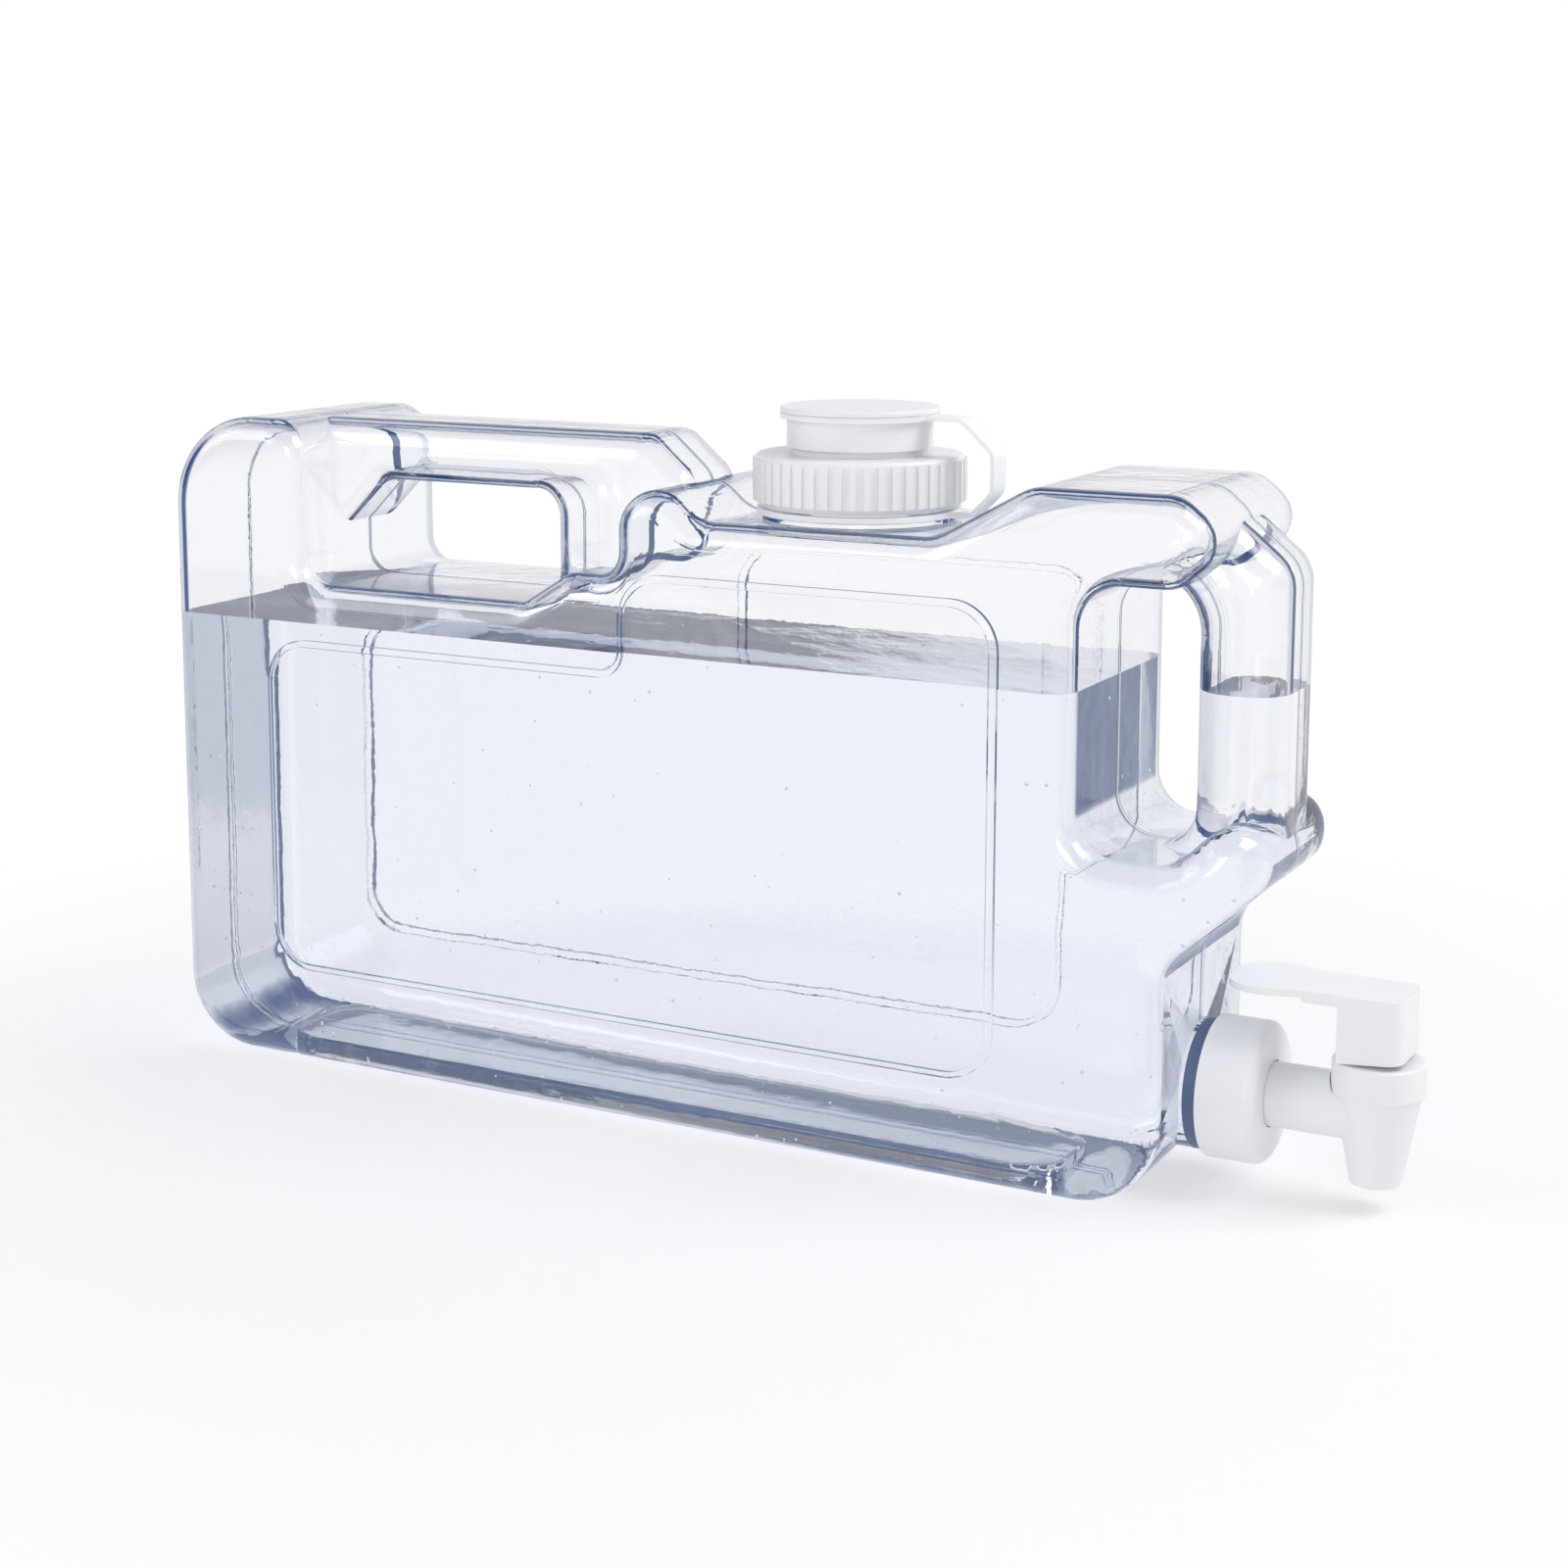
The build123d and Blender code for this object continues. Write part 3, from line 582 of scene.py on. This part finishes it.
glow.inputs["Color"].default_value = (1, 1, 1, 1)
place = make("ShaderNodeTexCoord")
distance = make("ShaderNodeVectorMath")
distance.operation = "LENGTH"
link(place.outputs["Object"], distance.inputs[0])
fade = make("ShaderNodeMapRange")
fade.interpolation_type = "SMOOTHSTEP"
fade.inputs["From Min"].default_value = 0.16
fade.inputs["From Max"].default_value = 0.42
fade.inputs["To Min"].default_value = 0.4
fade.inputs["To Max"].default_value = 1.0
link(distance.outputs["Value"], fade.inputs["Value"])
blend = make("ShaderNodeMixShader")
link(fade.outputs["Result"], blend.inputs[0])
link(matt.outputs[0], blend.inputs[1])
link(glow.outputs[0], blend.inputs[2])
far_off = make("ShaderNodeMapRange")
far_off.interpolation_type = "SMOOTHSTEP"
far_off.inputs["From Min"].default_value = 0.2
far_off.inputs["From Max"].default_value = 0.28
link(distance.outputs["Value"], far_off.inputs["Value"])
path = make("ShaderNodeLightPath")
unseen = make("ShaderNodeMath")
unseen.operation = "MULTIPLY"
link(path.outputs["Is Transmission Ray"], unseen.inputs[0])
link(far_off.outputs["Result"], unseen.inputs[1])
open_air = make("ShaderNodeBsdfTransparent")
near_only = make("ShaderNodeMixShader")
link(unseen.outputs[0], near_only.inputs[0])
link(blend.outputs[0], near_only.inputs[1])
link(open_air.outputs[0], near_only.inputs[2])
link(near_only.outputs[0], output.inputs["Surface"])
floor_mesh.materials.append(floor_white)

# Studio surroundings
# Seen straight, the background is white. Through the clear plastic and water it is white ahead
# and deep blue overhead and at the far sides, and where the light has turned inside more than
# once, which draws the dark edges.
world = bpy.data.worlds.new("studio")
bpy.context.scene.world = world
world.use_nodes = True
tree = world.node_tree
tree.nodes.clear()
make = tree.nodes.new
link = tree.links.new
output = make("ShaderNodeOutputWorld")
white = make("ShaderNodeBackground")
white.inputs["Color"].default_value = (1, 1, 1, 1)
soft = make("ShaderNodeBackground")
soft.inputs["Color"].default_value = (0.86, 0.88, 0.92, 1)
soft.inputs["Strength"].default_value = 0.62
around = make("ShaderNodeBackground")
direction = make("ShaderNodeTexCoord")
split = make("ShaderNodeSeparateXYZ")
link(direction.outputs["Generated"], split.inputs[0])
edges = []
for axis, low, high in (("Z", 0.42, 0.72), ("X", 0.80, 0.97)):
    size = make("ShaderNodeMath")
    size.operation = "ABSOLUTE"
    link(split.outputs[axis], size.inputs[0])
    dark = make("ShaderNodeMapRange")
    dark.interpolation_type = "SMOOTHSTEP"
    dark.inputs["From Min"].default_value = low
    dark.inputs["From Max"].default_value = high
    link(size.outputs[0], dark.inputs["Value"])
    edges.append(dark)
darkest = make("ShaderNodeMath")
darkest.operation = "MAXIMUM"
link(edges[0].outputs["Result"], darkest.inputs[0])
link(edges[1].outputs["Result"], darkest.inputs[1])
tone = make("ShaderNodeMix")
tone.data_type = "RGBA"
tone.inputs["A"].default_value = (1.0, 1.0, 1.0, 1)
tone.inputs["B"].default_value = (0.035, 0.09, 0.23, 1)
link(tone.outputs["Result"], around.inputs["Color"])
path = make("ShaderNodeLightPath")
entered = make("ShaderNodeMath")
entered.operation = "GREATER_THAN"
entered.inputs[1].default_value = 0.5
link(path.outputs["Transmission Depth"], entered.inputs[0])
turned = make("ShaderNodeMapRange")
turned.inputs["From Min"].default_value = 0.5
turned.inputs["From Max"].default_value = 2.0
turned.inputs["To Max"].default_value = 0.85
link(path.outputs["Glossy Depth"], turned.inputs["Value"])
turned_inside = make("ShaderNodeMath")
turned_inside.operation = "MULTIPLY"
link(entered.outputs[0], turned_inside.inputs[0])
link(turned.outputs["Result"], turned_inside.inputs[1])
deepest = make("ShaderNodeMath")
deepest.operation = "MAXIMUM"
link(darkest.outputs[0], deepest.inputs[0])
link(turned_inside.outputs[0], deepest.inputs[1])
link(deepest.outputs[0], tone.inputs["Factor"])
mirrored = make("ShaderNodeMath")
mirrored.operation = "MAXIMUM"
link(path.outputs["Is Transmission Ray"], mirrored.inputs[0])
link(path.outputs["Is Glossy Ray"], mirrored.inputs[1])
through = make("ShaderNodeMixShader")
link(mirrored.outputs[0], through.inputs[0])
link(soft.outputs[0], through.inputs[1])
link(around.outputs[0], through.inputs[2])
seen = make("ShaderNodeMixShader")
link(path.outputs["Is Camera Ray"], seen.inputs[0])
link(through.outputs[0], seen.inputs[1])
link(white.outputs[0], seen.inputs[2])
link(seen.outputs[0], output.inputs["Surface"])


def soft_lamp(name, place, aim, size, power):
    """Square area lamp that points at a place."""
    data = bpy.data.lights.new(name, "AREA")
    data.size = size
    data.energy = power
    lamp = bpy.data.objects.new(name, data)
    bpy.context.scene.collection.objects.link(lamp)
    lamp.location = place
    lamp.rotation_mode = "QUATERNION"
    lamp.rotation_quaternion = (Vector(aim) - Vector(place)).to_track_quat("-Z", "Y")
    return lamp


soft_lamp("key_lamp", (0.9, 0.25, 1.1), (0.05, 0, 0.1), 0.7, 9.0)
soft_lamp("fill_lamp", (-1.0, -0.9, 0.8), (0, 0, 0.1), 0.9, 5.0)
soft_lamp("front_lamp", (0.6, -1.3, 0.6), (0.1, 0, 0.1), 0.6, 3.0)

# Camera
# Set as the photograph's: from the front right, a little above, with the frame shifted down.
CAMERA_AZIMUTH = math.radians(28.35)
CAMERA_ELEVATION = math.radians(8.91)
lens = bpy.data.cameras.new("camera")
lens.lens = 63.4
lens.sensor_width = 36.0
lens.shift_x = 0.022
lens.shift_y = -0.1175
lens.clip_start = 0.01
camera = bpy.data.objects.new("camera", lens)
bpy.context.scene.collection.objects.link(camera)
camera.location = (0.37315, -0.7092, 0.2789)
looking = Vector((-math.sin(CAMERA_AZIMUTH) * math.cos(CAMERA_ELEVATION),
                  math.cos(CAMERA_AZIMUTH) * math.cos(CAMERA_ELEVATION),
                  -math.sin(CAMERA_ELEVATION)))
camera.rotation_mode = "QUATERNION"
camera.rotation_quaternion = looking.to_track_quat("-Z", "Y")
bpy.context.scene.camera = camera

bpy.context.scene.view_settings.view_transform = "Standard"
